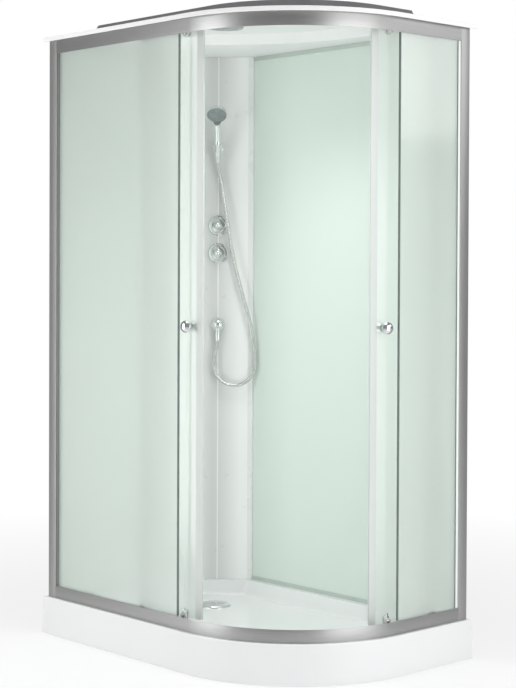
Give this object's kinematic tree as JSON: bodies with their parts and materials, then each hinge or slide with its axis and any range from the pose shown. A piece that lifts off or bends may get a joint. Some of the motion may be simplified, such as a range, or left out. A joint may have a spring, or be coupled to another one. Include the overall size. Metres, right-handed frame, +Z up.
{
  "type": "quadrant shower enclosure",
  "caption": "Quadrant shower cabin with two curved sliding doors, glass walls, a shallow tray, a roof and a hand shower on a corner column.",
  "frame": {"origin": "on the floor under the centre of the tray's 1200 x 800 mm rectangle", "axes": "+Z up; +Y towards the long back wall; -X towards the short wall; the rounded corner with the doors is at +X, -Y"},
  "size_m": [1.2, 0.8, 2.0335],
  "materials": {
    "acrylic": "glossy white moulded acrylic, grey on the raised outside of the roof",
    "frame_steel": "zinc-coated square tube",
    "foot_steel": "zinc-plated studs on round pads",
    "waste_plastic": "matte grey moulding",
    "chrome": "polished chrome",
    "wall_glass": "pale green back-painted glass, satin",
    "clear_glass": "lightly frosted safety glass with a green tint",
    "column_white": "satin white lacquered sheet",
    "satin_aluminium": "satin anodised extrusion",
    "seal_plastic": "milky soft plastic strip",
    "edge_trim": "dark grey-green strip on the edge of the glass",
    "channel_metal": "satin grey-green lacquered channel",
    "stop_rubber": "black rubber buffer",
    "screw_steel": "low domed steel screw head",
    "mixer_brass": "cast brass body",
    "pipe_steel": "bent steel pipe",
    "nozzle_grey": "grey rubber-faced nozzle plate",
    "hose_metal": "spiral-wound metal hose with a bright finish",
    "wheel_plastic": "hard white plastic wheel"
  },
  "bodies": {
    "enclosure": {"tray": "acrylic", "support_frame": "frame_steel", "levelling_feet": "foot_steel", "waste_trap": "waste_plastic", "waste_flange": "chrome", "long_wall_glass": "wall_glass", "short_wall_glass": "wall_glass", "sill_channels": "channel_metal", "head_channels": "channel_metal", "column_panel": "column_white", "column_trim_left": "column_white", "column_trim_right": "column_white", "bottom_rail": "satin_aluminium", "bottom_rail_cover": "satin_aluminium", "top_rail": "satin_aluminium", "top_rail_cover": "satin_aluminium", "left_wall_profile": "satin_aluminium", "right_wall_profile": "satin_aluminium", "left_fixed_glass": "clear_glass", "right_fixed_glass": "clear_glass", "glazing_gaskets": "seal_plastic", "fixed_edge_seals": "edge_trim", "door_stops": "stop_rubber", "roof": "acrylic", "roof_vent": "waste_plastic", "roof_screws": "screw_steel", "mixer_body": "mixer_brass", "outlet_pipe": "pipe_steel", "diverter_plate": "chrome", "temperature_plate": "chrome", "hose_outlet": "chrome", "hose_nut": "chrome", "handset_holder": "chrome", "hose": "hose_metal"},
    "left_door": {"left_door_glass": "clear_glass", "left_door_seal": "seal_plastic", "left_roller_brackets": "chrome", "left_door_knob": "chrome", "left_inner_knob": "chrome"},
    "left_bottom_front_wheel": {"left_bottom_front_wheel": "wheel_plastic"},
    "left_bottom_rear_wheel": {"left_bottom_rear_wheel": "wheel_plastic"},
    "left_top_front_wheel": {"left_top_front_wheel": "wheel_plastic"},
    "left_top_rear_wheel": {"left_top_rear_wheel": "wheel_plastic"},
    "right_door": {"right_door_glass": "clear_glass", "right_door_seal": "seal_plastic", "right_roller_brackets": "chrome", "right_door_knob": "chrome", "right_inner_knob": "chrome"},
    "right_bottom_front_wheel": {"right_bottom_front_wheel": "wheel_plastic"},
    "right_bottom_rear_wheel": {"right_bottom_rear_wheel": "wheel_plastic"},
    "right_top_front_wheel": {"right_top_front_wheel": "wheel_plastic"},
    "right_top_rear_wheel": {"right_top_rear_wheel": "wheel_plastic"},
    "diverter": {"diverter_knob": "chrome"},
    "temperature": {"temperature_knob": "chrome"},
    "handset": {"handset": "chrome", "nozzle_plate": "nozzle_grey", "handset_collar": "chrome"},
    "drain_cover": {"drain_cover": "chrome"}
  },
  "joints": [
    {"name": "left_door_slide", "type": "hinge", "parent": "enclosure", "child": "left_door", "pos_m": [0.03989, 0.41661, 0.15], "axis": [0, 0, 1], "range_deg": [0, 23.5]},
    {"name": "left_bottom_front_wheel_spin", "type": "hinge", "parent": "left_door", "child": "left_bottom_front_wheel", "pos_m": [0.08129, -0.35127, 0.1588], "axis": [0.2232, -0.9748, 0], "range_deg": [-1550, 0]},
    {"name": "left_bottom_rear_wheel_spin", "type": "hinge", "parent": "left_door", "child": "left_bottom_rear_wheel", "pos_m": [-0.10229, -0.35127, 0.1588], "axis": [-0.2232, -0.9748, 0], "range_deg": [-1600, 0]},
    {"name": "left_top_front_wheel_spin", "type": "hinge", "parent": "left_door", "child": "left_top_front_wheel", "pos_m": [0.08129, -0.35127, 1.9447], "axis": [0.2232, -0.9748, 0], "range_deg": [0, 1550]},
    {"name": "left_top_rear_wheel_spin", "type": "hinge", "parent": "left_door", "child": "left_top_rear_wheel", "pos_m": [-0.10229, -0.35127, 1.9447], "axis": [-0.2232, -0.9748, 0], "range_deg": [0, 1600]},
    {"name": "right_door_slide", "type": "hinge", "parent": "enclosure", "child": "right_door", "pos_m": [-0.06829, 0.12926, 0.15], "axis": [0, 0, -1], "range_deg": [0, 23.5]},
    {"name": "right_bottom_front_wheel_spin", "type": "hinge", "parent": "right_door", "child": "right_bottom_front_wheel", "pos_m": [0.55127, 0.05701, 0.1588], "axis": [0.9748, -0.2232, 0], "range_deg": [0, 1270]},
    {"name": "right_bottom_rear_wheel_spin", "type": "hinge", "parent": "right_door", "child": "right_bottom_rear_wheel", "pos_m": [0.55127, 0.24059, 0.1588], "axis": [0.9748, 0.2232, 0], "range_deg": [0, 1290]},
    {"name": "right_top_front_wheel_spin", "type": "hinge", "parent": "right_door", "child": "right_top_front_wheel", "pos_m": [0.55127, 0.05701, 1.9447], "axis": [0.9748, -0.2232, 0], "range_deg": [-1270, 0]},
    {"name": "right_top_rear_wheel_spin", "type": "hinge", "parent": "right_door", "child": "right_top_rear_wheel", "pos_m": [0.55127, 0.24059, 1.9447], "axis": [0.9748, 0.2232, 0], "range_deg": [-1290, 0]},
    {"name": "diverter_turn", "type": "hinge", "parent": "enclosure", "child": "diverter", "pos_m": [-0.48931, 0.27941, 1.378], "axis": [0.7071, -0.7071, 0], "range_deg": [-60, 60]},
    {"name": "temperature_turn", "type": "hinge", "parent": "enclosure", "child": "temperature", "pos_m": [-0.48931, 0.27941, 1.279], "axis": [0.7071, -0.7071, 0], "range_deg": [0, 180]},
    {"name": "handset_lift", "type": "slide", "parent": "enclosure", "child": "handset", "axis": [0.2185, -0.2185, 0.9511], "range_m": [0, 0.028]},
    {"name": "cover_lift", "type": "slide", "parent": "enclosure", "child": "drain_cover", "axis": [0, 0, 1], "range_m": [0, 0.03]}
  ],
  "couplings": [
    {"joint": "left_bottom_front_wheel_spin", "follows": "left_door_slide", "ratio": -65.891},
    {"joint": "left_bottom_rear_wheel_spin", "follows": "left_door_slide", "ratio": -67.847},
    {"joint": "left_top_front_wheel_spin", "follows": "left_door_slide", "ratio": 65.891},
    {"joint": "left_top_rear_wheel_spin", "follows": "left_door_slide", "ratio": 67.847},
    {"joint": "right_bottom_front_wheel_spin", "follows": "right_door_slide", "ratio": 53.918},
    {"joint": "right_bottom_rear_wheel_spin", "follows": "right_door_slide", "ratio": 54.676},
    {"joint": "right_top_front_wheel_spin", "follows": "right_door_slide", "ratio": -53.918},
    {"joint": "right_top_rear_wheel_spin", "follows": "right_door_slide", "ratio": -54.676}
  ]
}
